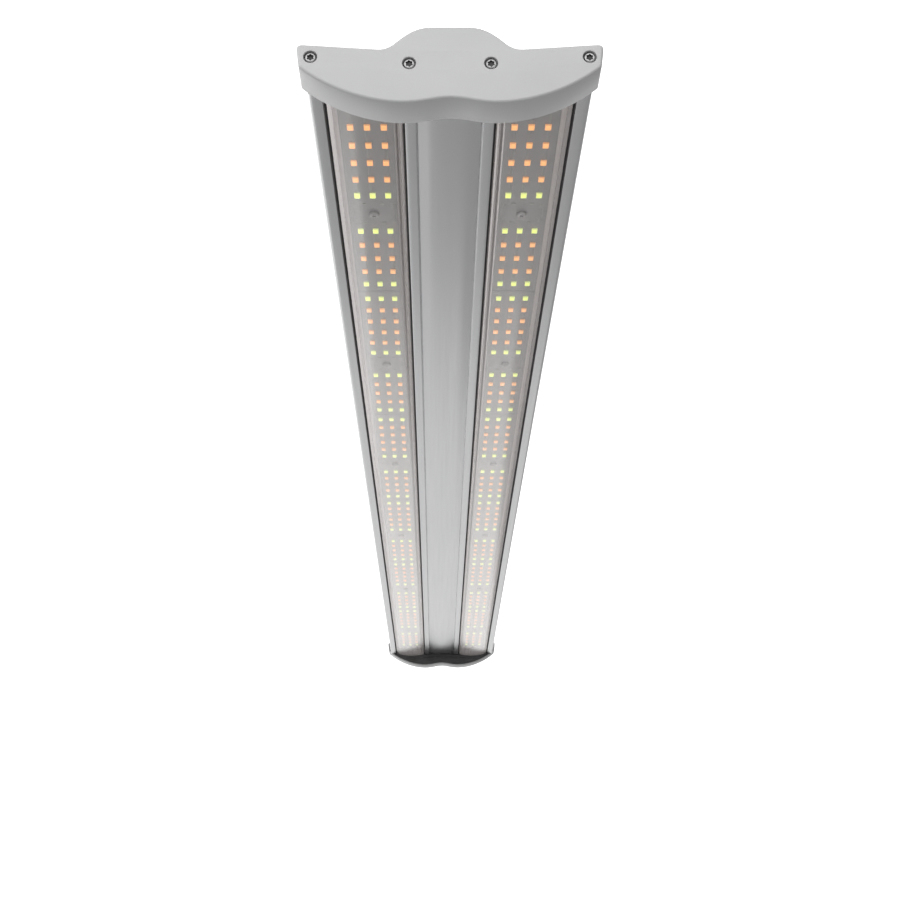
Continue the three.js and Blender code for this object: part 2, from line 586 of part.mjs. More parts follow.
function makeDriversAndLeads() {
  const frontStart = BODY_FRONT + DRIVER_END_SPACE;
  const frontEnd = BAR_MIDDLE - DRIVER_GAP / 2;
  const rearStart = BAR_MIDDLE + DRIVER_GAP / 2;
  const rearEnd = BODY_REAR - DRIVER_END_SPACE;
  makeDriver('driver_front', frontStart, frontEnd);
  makeDriver('driver_rear', rearStart, rearEnd);

  const boardEnd = BOARDS_START + FIT;
  for (const [sideName, side] of [['left', -1], ['right', 1]]) {
    addPiece(`board_lead_${sideName}`, tube([
      [side * LEAD_X, boardEnd + 4, 17.1], [side * LEAD_X, BODY_FRONT + 4, 16.2],
      [side * LEAD_X, BODY_FRONT - 3.5, 15.8], [side * 27, BODY_FRONT - 8, 11.5],
      [side * 19, BODY_FRONT - 8.6, 8.8], [side * 10, BODY_FRONT - 7.8, 12],
      [side * 6.5, BODY_FRONT - 4, 19], [side * 6.5, BODY_FRONT + 8, 21.4],
      [side * 6.5, frontStart - FIT, 21.6],
    ], LEAD_RADIUS, 22), 'lead');
  }
  addPiece('driver_link_lead', tube([
    [-5, frontEnd + FIT, 21.5], [-5, frontEnd + 8, 21.5], [0, BAR_MIDDLE, 19.5],
    [5, rearStart - 8, 21.5], [5, rearStart - FIT, 21.5],
  ], LEAD_RADIUS, 14), 'lead');
  addPiece('inlet_lead', tube([
    [0, REAR_FACE - 9 - FIT, INLET_Z], [0, BODY_REAR - 2, 19.4], [0, BODY_REAR - 14, 21.2],
    [0, rearEnd + FIT, 21.5],
  ], INLET_LEAD_RADIUS, 12), 'lead');
}

// ---- hangers ----

// A channel-shaped bracket with two round-topped ears that carry the bail.
function makeBracket(name, parent) {
  const outer = BRACKET_HALF_WIDTH;
  const inner = outer - BRACKET_THICKNESS;
  const earTop = PIVOT_Z + EAR_RADIUS;
  const floorTop = BRACKET_Z + BRACKET_THICKNESS;
  const shoulderZ = floorTop + 1.4;
  const channel = polygon([
    [-outer, BRACKET_Z], [outer, BRACKET_Z], [outer, earTop + 1], [inner, earTop + 1],
    [inner, floorTop], [-inner, floorTop], [-inner, earTop + 1], [-outer, earTop + 1],
  ]);
  const profile = new THREE.Shape();
  profile.moveTo(-BRACKET_HALF_LENGTH, BRACKET_Z - 1);
  profile.lineTo(BRACKET_HALF_LENGTH, BRACKET_Z - 1);
  profile.lineTo(BRACKET_HALF_LENGTH, shoulderZ);
  profile.lineTo(EAR_RADIUS, PIVOT_Z - 1);
  profile.absarc(0, PIVOT_Z, EAR_RADIUS, 0, Math.PI, false);
  profile.lineTo(-EAR_RADIUS, PIVOT_Z - 1);
  profile.lineTo(-BRACKET_HALF_LENGTH, shoulderZ);
  profile.holes.push(circlePath(0, PIVOT_Z, EAR_HOLE));
  const settings = { depth: 4 * outer, bevelEnabled: false, curveSegments: 12 };
  const sideView = new THREE.ExtrudeGeometry(profile, settings);
  sideView.rotateX(Math.PI / 2);
  sideView.rotateZ(Math.PI / 2);
  sideView.translate(-2 * outer, 0, 0);
  const boltHole = new THREE.CylinderGeometry(STUD_RADIUS + 0.3, STUD_RADIUS + 0.3, 10, 16);
  boltHole.rotateX(Math.PI / 2);
  boltHole.translate(0, 0, BRACKET_Z);
  const bracket = toSolid(prism(channel, -BRACKET_HALF_LENGTH, BRACKET_HALF_LENGTH))
    .intersect(toSolid(sideView))
    .subtract(toSolid(boltHole));
  addPiece(name, toGeometry(bracket), 'steel', parent);
}

// A flat T-nut that slides in the slot, with the stud that stands up through the bracket.
function makeStud(name, parent) {
  const plateHalf = SLOT_HALF - 0.4;
  const plateLow = SLOT_FLOOR_Z + 0.4;
  const plateHigh = HUMP_TOP_Z - SLOT_LIP - 0.3;
  const plate = new THREE.BoxGeometry(2 * plateHalf, 12, plateHigh - plateLow);
  plate.translate(0, 0, (plateLow + plateHigh) / 2);
  const studTop = 39.8;
  const stud = new THREE.CylinderGeometry(STUD_RADIUS, STUD_RADIUS, studTop - plateLow - 0.5, 16);
  stud.rotateX(Math.PI / 2);
  stud.translate(0, 0, (studTop + plateLow + 0.5) / 2);
  addPiece(name, toGeometry(toSolid(plate).add(toSolid(stud))), 'steel', parent);
}

function makeHangerNut(name, parent) {
  const low = BRACKET_Z + BRACKET_THICKNESS + FIT;
  const corner = 4 / Math.cos(Math.PI / 6);
  const hexagon = polygon([0, 1, 2, 3, 4, 5].map((i) => {
    const turn = i * Math.PI / 3;
    return [corner * Math.cos(turn), corner * Math.sin(turn)];
  }));
  hexagon.holes.push(circlePath(0, 0, STUD_RADIUS + FIT));
  const geometry = new THREE.ExtrudeGeometry(hexagon, { depth: 4, bevelEnabled: false, curveSegments: 8 });
  addPiece(name, geometry, 'steel', parent).position.z = low;
}

// A wire bail whose ends turn in through the bracket's ears. It lies folded along the bar, its crown
// just clear of the hump; fold is the direction that it lies in.
function makeBail(name, parent, fold) {
  const legEnd = BRACKET_HALF_WIDTH - 4;
  const drop = Math.asin((PIVOT_Z - HUMP_TOP_Z - BAIL_WIRE - 2 * FIT) / BAIL_HEIGHT);
  const bend = 3;
  const crownY = BAIL_HEIGHT - BAIL_CROWN;
  const route = new THREE.CurvePath();
  const at = (x, y) => new THREE.Vector3(x, y, 0);
  const lean = at(BAIL_CROWN, crownY).sub(at(BAIL_HALF_WIDTH, 0)).normalize();
  const knee = (side) => at(side * BAIL_HALF_WIDTH, 0);
  const onLeg = (side) => at(side * (BAIL_HALF_WIDTH + lean.x * bend), lean.y * bend);
  const kappa = 0.5523 * BAIL_CROWN;
  route.add(new THREE.LineCurve3(at(-legEnd, 0), at(-BAIL_HALF_WIDTH + bend, 0)));
  route.add(new THREE.QuadraticBezierCurve3(at(-BAIL_HALF_WIDTH + bend, 0), knee(-1), onLeg(-1)));
  route.add(new THREE.LineCurve3(onLeg(-1), at(-BAIL_CROWN, crownY)));
  route.add(new THREE.CubicBezierCurve3(at(-BAIL_CROWN, crownY), at(-BAIL_CROWN, crownY + kappa),
    at(-kappa, BAIL_HEIGHT), at(0, BAIL_HEIGHT)));
  route.add(new THREE.CubicBezierCurve3(at(0, BAIL_HEIGHT), at(kappa, BAIL_HEIGHT),
    at(BAIL_CROWN, crownY + kappa), at(BAIL_CROWN, crownY)));
  route.add(new THREE.LineCurve3(at(BAIL_CROWN, crownY), onLeg(1)));
  route.add(new THREE.QuadraticBezierCurve3(onLeg(1), knee(1), at(BAIL_HALF_WIDTH - bend, 0)));
  route.add(new THREE.LineCurve3(at(BAIL_HALF_WIDTH - bend, 0), at(legEnd, 0)));
  const wire = new THREE.Shape().absarc(0, 0, BAIL_WIRE, 0, 2 * Math.PI);
  const settings = { steps: 38, bevelEnabled: false, extrudePath: route, curveSegments: 4 };
  const geometry = new THREE.ExtrudeGeometry(wire, settings);
  const bail = addPiece(name, geometry, 'steel', parent);
  bail.position.z = PIVOT_Z;
  bail.rotation.set(-drop, 0, fold > 0 ? 0 : Math.PI, 'ZYX');
}

function makeHanger(sideName, y, fold) {
  const hanger = new THREE.Group();
  hanger.position.y = y;
  light.add(hanger);
  makeBracket(`hanger_bracket_${sideName}`, hanger);
  makeStud(`hanger_stud_${sideName}`, hanger);
  makeHangerNut(`hanger_nut_${sideName}`, hanger);
  makeBail(`hanger_bail_${sideName}`, hanger, fold);
}

makeHousing();
makeChannel('left', -1);
makeChannel('right', 1);
makeCapSet('front', FRONT_FACE, 1, []);
makeCapSet('rear', REAR_FACE, -1, [
  [0, INLET_Z, INLET_BODY + FIT],
  [VENT_PLACE[0], VENT_PLACE[1], VENT_STEM + FIT],
]);
makePowerInlet();
makeVent();
makeDriversAndLeads();
makeHanger('front', BAR_MIDDLE - HANGER_SPREAD / 2, 1);
makeHanger('rear', BAR_MIDDLE + HANGER_SPREAD / 2, -1);

export default light;
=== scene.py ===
"""LED grow light, seen along the bar from below its front end: pieces, materials, light and camera."""
import math

import bmesh
import bpy
from mathutils import Matrix, Vector
from mathutils.geometry import tessellate_polygon


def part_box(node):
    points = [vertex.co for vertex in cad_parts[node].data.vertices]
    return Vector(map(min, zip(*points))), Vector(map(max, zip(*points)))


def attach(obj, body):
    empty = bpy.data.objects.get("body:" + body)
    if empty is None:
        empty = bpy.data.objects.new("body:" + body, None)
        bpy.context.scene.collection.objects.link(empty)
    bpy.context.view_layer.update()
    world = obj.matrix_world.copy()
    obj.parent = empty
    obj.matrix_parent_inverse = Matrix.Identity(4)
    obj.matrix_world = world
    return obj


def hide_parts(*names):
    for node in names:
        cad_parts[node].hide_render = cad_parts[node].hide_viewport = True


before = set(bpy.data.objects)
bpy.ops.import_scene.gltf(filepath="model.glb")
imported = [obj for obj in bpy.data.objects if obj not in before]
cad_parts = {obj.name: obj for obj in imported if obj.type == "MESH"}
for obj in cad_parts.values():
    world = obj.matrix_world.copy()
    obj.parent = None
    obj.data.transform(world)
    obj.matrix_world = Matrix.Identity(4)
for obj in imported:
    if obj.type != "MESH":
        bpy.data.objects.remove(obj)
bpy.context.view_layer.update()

MM = 0.001

# ---- sizes in millimetres, as the CAD frame gives them ----
BAR_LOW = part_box("housing")[0].y / MM
BAR_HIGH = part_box("housing")[1].y / MM
FRONT_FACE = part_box("end_cap_front")[0].y / MM
REAR_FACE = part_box("end_cap_rear")[1].y / MM
CAP_DEPTH = BAR_LOW - FRONT_FACE
BAR_MIDDLE = (FRONT_FACE + REAR_FACE) / 2
SCREW_PLACES = [(-16.4, 17.9), (16.4, 17.9), (-55.9, 20.8), (55.9, 20.8)]
BOARD_X = 35.4
ROW_PITCH = 15.21
SCREW_GAP = 36.1
COLUMN_PITCH = 7.25
FIRST_ROW = 9.325          # from the joint line between two boards to its first row
ROWS_BEFORE_SCREW = 6
ROWS = 11
BOARD_FACE_Z = 18.6
BOARD_THICKNESS = 1.5
BOARD_HALF_WIDTH = 12.1
LED_HALF_WIDTH = 1.4
LED_HALF_LENGTH = 2.1
LED_HEIGHT = 0.7
SCREW_STEPS = 48           # points round each screw
HUMP_TOP_Z = 32.4
HANGER_REACH = 300         # from the middle of the bar to each hanger
BAIL_PIVOT_Z = 42.0
BAIL_WIRE = 1.5            # radius of the wire


# ---------------------------------------------------------------- mesh helpers

def finish_mesh(name, verts, faces, angle=35.0, material_of_face=None, merge=0.0):
    """Makes an object from points in millimetres, with normals out and edges sharp above an angle."""
    mesh = bpy.data.meshes.new(name)
    mesh.from_pydata([(x * MM, y * MM, z * MM) for x, y, z in verts], [], faces)
    if material_of_face:
        mesh.polygons.foreach_set("material_index", material_of_face)
    work = bmesh.new()
    work.from_mesh(mesh)
    if merge:
        bmesh.ops.remove_doubles(work, verts=work.verts, dist=merge * MM)
    bmesh.ops.recalc_face_normals(work, faces=work.faces)
    work.to_mesh(mesh)
    work.free()
    mesh.shade_smooth()
    mesh.set_sharp_from_angle(angle=math.radians(angle))
    piece = bpy.data.objects.new(name, mesh)
    bpy.context.scene.collection.objects.link(piece)
    return piece


def settle(piece, body, slot, materials, *nodes):
    """Gives a piece its finishes and its body, and hides the CAD nodes that it stands for."""
    for one in materials:
        piece.data.materials.append(one)
    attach(piece, body)
    if nodes:
        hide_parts(*nodes)
    return piece


def mirrored(half):
    """Closes an outline that runs up the +X half from the centre line to the centre line."""
    return half + [(-x, z) for x, z in reversed(half) if x > 1e-6]


def cubic(a, b, c, d, steps):
    """Points of a cubic curve after its first point."""
    out = []
    for i in range(1, steps + 1):
        t = i / steps
        s = 1 - t
        w = (s * s * s, 3 * s * s * t, 3 * s * t * t, t * t * t)
        out.append(tuple(sum(k * p[j] for k, p in zip(w, (a, b, c, d))) for j in range(2)))
    return out


def quadratic(a, b, c, steps):
    """Points of a quadratic curve after its first point."""
    out = []
    for i in range(1, steps + 1):
        t = i / steps
        s = 1 - t
        out.append(tuple(s * s * a[j] + 2 * s * t * b[j] + t * t * c[j] for j in range(2)))
    return out


def rounded(points, radius, steps=3, sharpest=20.0):
    """Rounds each corner of a closed outline that turns by more than an angle."""
    out = []
    count = len(points)
    for i, point in enumerate(points):
        here = Vector(point)
        back = Vector(points[i - 1]) - here
        ahead = Vector(points[(i + 1) % count]) - here
        turn = math.degrees(back.angle(-ahead))
        if turn < sharpest:
            out.append(point)
            continue
        reach = min(radius * math.tan(math.radians(turn) / 2), back.length * 0.45, ahead.length * 0.45)
        start = here + back.normalized() * reach
        end = here + ahead.normalized() * reach
        out.append(tuple(start))
        out.extend(quadratic(tuple(start), point, tuple(end), steps))
    return out


def inset(points, distance):
    """Moves every corner of a counter-clockwise outline inwards."""
    out = []
    count = len(points)
    for i, point in enumerate(points):
        here = Vector(point)
        along = (here - Vector(points[i - 1])).normalized()
        onward = (Vector(points[(i + 1) % count]) - here).normalized()
        normal = Vector((-along.y - onward.y, along.x + onward.x)).normalized()
        reach = distance / max(0.3, normal.dot(Vector((-along.y, along.x))))
        out.append(tuple(here + normal * reach))
    return out


def circle(x, z, radius, steps=32):
    turns = (2 * math.pi * i / steps for i in range(steps))
    return [(x + radius * math.cos(t), z + radius * math.sin(t)) for t in turns]


class Builder:
    """Collects loops of points and the faces between them."""

    def __init__(self):
        self.verts = []
        self.faces = []
        self.materials = []
        self.material = 0

    def loop(self, points):
        start = len(self.verts)
        self.verts.extend(points)
        return list(range(start, len(self.verts)))

    def section(self, outline, y):
        """A loop of (x, z) points at one y."""
        return self.loop([(x, y, z) for x, z in outline])

    def level(self, outline, z):
        """A loop of (x, y) points at one z."""
        return self.loop([(x, y, z) for x, y in outline])

    def face(self, indices):
        self.faces.append(tuple(indices))
        self.materials.append(self.material)

    def bridge(self, first, second):
        count = len(first)
        for i in range(count):
            j = (i + 1) % count
            self.face((first[i], first[j], second[j], second[i]))

    def strip(self, loops):
        for first, second in zip(loops, loops[1:]):
            self.bridge(first, second)

    def cap(self, outer, holes=()):
        """Fills a flat loop, leaving its holes open."""
        loops = [outer, *holes]
        flat = [[Vector(self.verts[i]) for i in loop] for loop in loops]
        order = [i for loop in loops for i in loop]
        for triangle in tessellate_polygon(flat):
            self.face([order[i] for i in triangle])

    def done(self, name, angle=35.0, merge=0.0):
        return finish_mesh(name, self.verts, self.faces, angle, self.materials, merge)


def bar(name, outline, y_low, y_high, holes=(), angle=35.0, joints=0):
    """An outline drawn out along the bar."""
    build = Builder()
    places = [y_low + (y_high - y_low) * i / (joints + 1) for i in range(joints + 2)]
    ends = []
    for loop in [outline, *holes]:
        rings = [build.section(loop, y) for y in places]
        build.strip(rings)
        ends.append((rings[0], rings[-1]))
    for k in (0, 1):
        build.cap(ends[0][k], [pair[k] for pair in ends[1:]])
    return build.done(name, angle)


def refined(name, node, width=0.25, segments=2, angle=32.0):
    """A copy of a CAD node with its flat faces joined up and its edges rounded."""
    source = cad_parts[node]
    work = bmesh.new()
    work.from_mesh(source.data)
    work.transform(source.matrix_world)
    bmesh.ops.remove_doubles(work, verts=work.verts, dist=1e-6)
    bmesh.ops.dissolve_limit(work, angle_limit=math.radians(1.0), verts=work.verts, edges=work.edges)
    limit = math.radians(angle)
    sharp = [e for e in work.edges if len(e.link_faces) == 2 and e.calc_face_angle() > limit]
    bmesh.ops.bevel(work, geom=sharp, offset=width * MM, segments=segments, profile=0.5,
                    affect="EDGES", clamp_overlap=True)
    bmesh.ops.recalc_face_normals(work, faces=work.faces)
    mesh = bpy.data.meshes.new(name)
    work.to_mesh(mesh)
    work.free()
    mesh.shade_smooth()
    mesh.set_sharp_from_angle(angle=math.radians(40))
    piece = bpy.data.objects.new(name, mesh)
    bpy.context.scene.collection.objects.link(piece)
    return piece


def round_wire(name, points, radius, closed=False, resolution=6):
    """A round wire along points in millimetres, as a mesh."""
    curve = bpy.data.curves.new(name, "CURVE")
    curve.dimensions = "3D"
    curve.bevel_depth = radius * MM
    curve.bevel_resolution = resolution
    curve.use_fill_caps = True
    spline = curve.splines.new("POLY")
    spline.points.add(len(points) - 1)
    for target, (x, y, z) in zip(spline.points, points):
        target.co = (x * MM, y * MM, z * MM, 1)
    spline.use_cyclic_u = closed
    holder = bpy.data.objects.new(name, curve)
    mesh = bpy.data.meshes.new_from_object(holder)
    bpy.data.objects.remove(holder)
    bpy.data.curves.remove(curve)
    mesh.name = name
    mesh.shade_smooth()
    mesh.set_sharp_from_angle(angle=math.radians(50))
    piece = bpy.data.objects.new(name, mesh)
    bpy.context.scene.collection.objects.link(piece)
    return piece


def through(points, steps):
    """A smooth route through points: Catmull-Rom in three dimensions."""
    knots = [Vector(p) for p in points]
    knots = [knots[0] * 2 - knots[1], *knots, knots[-1] * 2 - knots[-2]]
    out = []
    for a, b, c, d in zip(knots, knots[1:], knots[2:], knots[3:]):
        for i in range(steps):
            t = i / steps
            point = (b * 2 + (c - a) * t + (a * 2 - b * 5 + c * 4 - d) * t * t
                     + (b * 3 - a - c * 3 + d) * t * t * t) / 2
            out.append(tuple(point))
    out.append(tuple(knots[-2]))
    return out


# ---------------------------------------------------------------- materials

class Shader:
    """A small builder round one Principled material."""

    def __init__(self, name, **values):
        self.material = bpy.data.materials.new(name)
        self.material.use_nodes = True
        self.tree = self.material.node_tree
        self.principled = self.tree.nodes["Principled BSDF"]
        self.output = self.tree.nodes["Material Output"]
        for key, value in values.items():
            socket = key.replace("_", " ").title().replace("Ior", "IOR")
            self.principled.inputs[socket].default_value = value
        self.places = self.tree.nodes.new("ShaderNodeTexCoord").outputs["Object"]

    def add(self, kind, **values):
        node = self.tree.nodes.new(kind)
        for key, value in values.items():
            if hasattr(node, key):
                setattr(node, key, value)
            else:
                node.inputs[key.replace("_", " ").title()].default_value = value
        return node

    def link(self, output, target):
        self.tree.links.new(output, target)

    def stretched(self, scale):
        """Object coordinates scaled apart along each axis."""
        mapping = self.add("ShaderNodeMapping")
        mapping.inputs["Scale"].default_value = scale
        self.link(self.places, mapping.inputs["Vector"])
        return mapping.outputs["Vector"]

    def noise(self, scale, stretch=(1, 1, 1), detail=3.0, roughness=0.5):
        node = self.add("ShaderNodeTexNoise", scale=scale, detail=detail, roughness=roughness)
        self.link(self.stretched(stretch), node.inputs["Vector"])
        return node.outputs["Fac"]

    def ramp(self, source, low, high, start=0.3, end=0.7):
        node = self.add("ShaderNodeValToRGB")
        node.color_ramp.elements[0].position = start
        node.color_ramp.elements[1].position = end
        node.color_ramp.elements[0].color = (*low, 1)
        node.color_ramp.elements[1].color = (*high, 1)
        self.link(source, node.inputs["Fac"])
        return node.outputs["Color"]

    def spread(self, source, low, high, start=0.3, end=0.7):
        node = self.add("ShaderNodeMapRange")
        for key, value in (("From Min", start), ("From Max", end), ("To Min", low), ("To Max", high)):
            node.inputs[key].default_value = value
        self.link(source, node.inputs["Value"])
        return node.outputs["Result"]

    def colour(self, source):
        self.link(source, self.principled.inputs["Base Color"])

    def roughness(self, source):
        self.link(source, self.principled.inputs["Roughness"])

    def bump(self, source, distance, strength=1.0):
        node = self.add("ShaderNodeBump")
        node.inputs["Distance"].default_value = distance * MM
        node.inputs["Strength"].default_value = strength
        self.link(source, node.inputs["Height"])
        self.link(node.outputs["Normal"], self.principled.inputs["Normal"])


def anodised_aluminium():
    """Satin anodised extrusion: die lines along the bar, faint cloudiness and a fine sparkle."""
    s = Shader("anodised_aluminium", metallic=0.9, roughness=0.22)
    lines = s.noise(900, (1, 0.012, 1), 4, 0.65)
    clouds = s.noise(9, (1, 0.25, 1), 2)
    s.colour(s.ramp(clouds, (0.445, 0.445, 0.45), (0.47, 0.47, 0.475)))
    s.roughness(s.spread(lines, 0.2, 0.26))
    s.bump(lines, 0.004, 0.5)
    return s.material


def powder_coat():
    """Light grey matte powder coat with a fine orange peel."""
    s = Shader("cap_powder_coat", roughness=0.5, coat_weight=0.4, coat_roughness=0.28)
    peel = s.noise(1500, detail=2)
    tone = s.noise(30, detail=3)
    s.colour(s.ramp(tone, (0.415, 0.416, 0.417), (0.435, 0.436, 0.437)))
    s.roughness(s.spread(peel, 0.45, 0.55))
    s.bump(peel, 0.02, 0.5)
    return s.material


def black_rubber():
    """Moulded rubber, dusty black with a fine grain."""
    s = Shader("black_rubber", roughness=0.6, specular_ior_level=0.2)
    grain = s.noise(2600, detail=2)
    dust = s.noise(60, detail=4)
    s.colour(s.ramp(dust, (0.012, 0.012, 0.013), (0.028, 0.027, 0.028)))
    s.roughness(s.spread(grain, 0.5, 0.72))
    s.bump(grain, 0.02, 0.6)
    return s.material


def gasket_rubber():
    """Softer, greyer rubber of the end gaskets, with a slight sheen on its beads."""
    s = Shader("gasket_rubber", roughness=0.42, specular_ior_level=0.5)
    grain = s.noise(1200, detail=2)
    dust = s.noise(90, detail=4)
    s.colour(s.ramp(dust, (0.045, 0.045, 0.046), (0.07, 0.07, 0.071)))
    s.roughness(s.spread(grain, 0.36, 0.5))
    s.bump(grain, 0.01, 0.4)
    return s.material


def clear_cover():
    """Clear plastic lens: it mirrors more at grazing angles, and there it also gets a painted glow, a
    faint pink emission that stands for the LEDs' light scattered in it.
    """
    s = Shader("clear_cover")
    head_on, steepness = 0.035, 4.0
    clear = s.add("ShaderNodeBsdfTransparent")
    clear.inputs["Color"].default_value = (0.965, 0.96, 0.96, 1)
    gloss = s.add("ShaderNodeBsdfGlossy")
    lines = s.noise(500, (1, 0.01, 1), 3)
    s.link(s.spread(lines, 0.14, 0.22), gloss.inputs["Roughness"])
    facing = s.add("ShaderNodeLayerWeight")
    facing.inputs["Blend"].default_value = 0.5
    power = s.add("ShaderNodeMath", operation="POWER")
    power.inputs[1].default_value = steepness
    share = s.add("ShaderNodeMath", operation="MULTIPLY_ADD")
    share.inputs[1].default_value = 1 - head_on
    share.inputs[2].default_value = head_on
    # painted glow: a faint pinkish emission added to the gloss, standing for the LEDs' light scattered
    # in the lens
    painted_glow = s.add("ShaderNodeEmission", strength=0.2)
    painted_glow.inputs["Color"].default_value = (1.0, 0.93, 0.91, 1)
    gloss_and_painted_glow = s.add("ShaderNodeAddShader")
    s.link(gloss.outputs["BSDF"], gloss_and_painted_glow.inputs[0])
    s.link(painted_glow.outputs["Emission"], gloss_and_painted_glow.inputs[1])
    mix = s.add("ShaderNodeMixShader")
    s.link(facing.outputs["Facing"], power.inputs[0])
    s.link(power.outputs["Value"], share.inputs[0])
    s.link(share.outputs["Value"], mix.inputs["Fac"])
    s.link(clear.outputs["BSDF"], mix.inputs[1])
    s.link(gloss_and_painted_glow.outputs["Shader"], mix.inputs[2])
    s.link(mix.outputs["Shader"], s.output.inputs["Surface"])
    return s.material


def cover_edge():
    """The cover's thick edges and legs, partly see-through, in a pale pinkish colour that paints the
    LEDs' light carried through them.
    """
    s = Shader("cover_edge", metallic=0.6, roughness=0.2, alpha=0.75)
    tone = s.noise(300, (1, 0.02, 1), 2)
    # painted light: the pale pinkish tone stands for the LEDs' light in the cover's edges and legs
    s.colour(s.ramp(tone, (0.52, 0.49, 0.48), (0.6, 0.57, 0.56)))
    return s.material


def lit_channel():
    """Aluminium inside the LED channels with the LEDs' light painted on: a paler pinkish colour and a
    faint pink glow.
    """
    s = Shader("lit_channel", metallic=0.35, roughness=0.4, emission_strength=0.06)
    lines = s.noise(900, (1, 0.012, 1), 4, 0.65)
    s.colour(s.ramp(lines, (0.66, 0.62, 0.61), (0.76, 0.72, 0.71)))
    # painted glow: the LEDs' light on the channel walls, as a faint pinkish emission
    s.principled.inputs["Emission Color"].default_value = (1.0, 0.9, 0.87, 1)
    s.bump(lines, 0.012, 0.5)
    return s.material


def solder_mask():
    """Grey solder mask with a fine grain."""
    s = Shader("solder_mask", roughness=0.45, coat_weight=0.8, coat_roughness=0.25)
    tone = s.noise(120, detail=3)
    s.colour(s.ramp(tone, (0.188, 0.187, 0.186), (0.213, 0.212, 0.211)))
    grain = s.noise(900, detail=2)
    s.roughness(s.spread(grain, 0.38, 0.52))
    s.bump(grain, 0.01, 0.4)
    return s.material


def trace_mask():
    """Solder mask where it runs over copper: slightly paler and greener."""
    s = Shader("trace_mask", roughness=0.4)
    tone = s.noise(200, detail=2)
    s.colour(s.ramp(tone, (0.23, 0.237, 0.225), (0.255, 0.263, 0.25)))
    return s.material


def solder():
    """Tinned pads, dulled by flux."""
    s = Shader("solder", metallic=0.6, roughness=0.5)
    tone = s.noise(700, detail=2)
    s.colour(s.ramp(tone, (0.3, 0.32, 0.29), (0.4, 0.42, 0.38)))
    s.bump(tone, 0.03, 0.5)
    return s.material


def glowing(name, low, high, glow, strength):
    """Tinted silicone of an LED package, with a soft glow."""
    s = Shader(name, roughness=0.3, coat_weight=1.0, coat_roughness=0.2,
               emission_strength=strength)
    tone = s.noise(900, detail=2)
    s.colour(s.ramp(tone, low, high))
    s.principled.inputs["Emission Color"].default_value = (*glow, 1)
    return s.material


def brushed_steel(name, tone_low, tone_high, rough):
    """Plated or stainless steel with fine scratches."""
    s = Shader(name, metallic=1.0, roughness=rough)
    lines = s.noise(1400, (1, 1, 0.05), 3)
    clouds = s.noise(80, detail=3)
    s.colour(s.ramp(clouds, (tone_low,) * 3, (tone_high,) * 3))
    s.roughness(s.spread(lines, rough - 0.06, rough + 0.1))
    s.bump(lines, 0.01, 0.4)
    return s.material


def moulded_plastic(name, low, high, rough):
    """Moulded plastic with a fine grain and a slightly uneven tone."""
    s = Shader(name, roughness=rough)
    grain = s.noise(1800, detail=2)
    tone = s.noise(50, detail=3)
    s.colour(s.ramp(tone, low, high))
    s.roughness(s.spread(grain, rough - 0.08, rough + 0.08))
    s.bump(grain, 0.02, 0.5)
    return s.material


def pale_floor():
    """Plain light grey, faintly uneven."""
    s = Shader("pale_floor", roughness=0.7)
    tone = s.noise(2, detail=2)
    s.colour(s.ramp(tone, (0.49, 0.49, 0.49), (0.51, 0.51, 0.51)))
    return s.material


# ---------------------------------------------------------------- outlines

def cap_outline(steps=16):
    """The end caps' outline, with its corners rounded."""
    half = [(0, 2.2)]
    half += cubic((0, 2.2), (6, 2.2), (11, 0), (18.5, 0), steps // 2)
    half += cubic((18.5, 0), (33, 0), (49, 6.2), (60.6, 16.3), steps)
    half += [(61.95, 26.95)]
    half += [(29.5, 24.7)]
    half += cubic((29.5, 24.7), (25, 24.4), (23, 26.9), (20.5, 29.1), steps // 2)
    half += cubic((20.5, 29.1), (17.3, 31.9), (13.5, 34.9), (8, 34.9), steps // 2)
    half += [(0, 34.9)]
    return rounded(mirrored(half), 2.4, 6, 25.0)


def wing_z(x):
    """Height of the back's sloping wing at one place across."""
    return 22.4 + (x - 29) * 0.07


def housing_outline():
    """The extrusion's section with small rounds on its edges."""
    half = [(0, 13), (9.4, 13), (13.8, 14.4), (14.1, 14.4), (14.1, 12.3), (18.8, 12.3), (18.8, 15)]
    half += [(21.2, 15), (21.2, 16.4), (18.8, 16.4), (18.8, 20.3), (33.95, 20.3), (33.95, 21.9)]
    half += [(36.85, 21.9), (36.85, 20.3), (52.3, 20.3), (52.3, 16.4), (51.3, 16.4), (51.3, 15.4)]
    half += [(52.3, 15.4), (52.3, 13.6), (56.6, 13.6)]
    half += quadratic((56.6, 13.6), (58.2, 13.6), (58.2, 15.2), 6)
    half += [(58.2, 23.4)]
    half += quadratic((58.2, 23.4), (58.2, wing_z(58.2)), (57, wing_z(58.2)), 4)
    for i in range(5, -1, -1):
        x = 39.5 + i * 2.8
        half += [(x + 0.7, wing_z(x)), (x + 0.7, wing_z(x) - 0.9)]
        half += [(x - 0.7, wing_z(x) - 0.9), (x - 0.7, wing_z(x))]
    half += [(29, wing_z(29))]
    half += cubic((29, 22.4), (24.6, 22.1), (22.2, 24.4), (19.4, 27), 8)
    half += cubic((19.4, 27), (16.4, 29.8), (12.8, 32.4), (8, 32.4), 8)
    half += [(3.4, 32.4), (3.4, 30.8), (6.8, 30.8), (6.8, 27.8), (0, 27.8)]
    return rounded(mirrored(half), 0.32, 2, 25.0)


DUCT_HALF = [
    (0, 15.2), (8.4, 15.2), (12.6, 18.2), (12.6, 21.2), (16.8, 22.4), (17.2, 24.2),
    (15.4, 26.6), (11.8, 29.3), (9.2, 28.9), (8.6, 26.3), (0, 26.3),
]


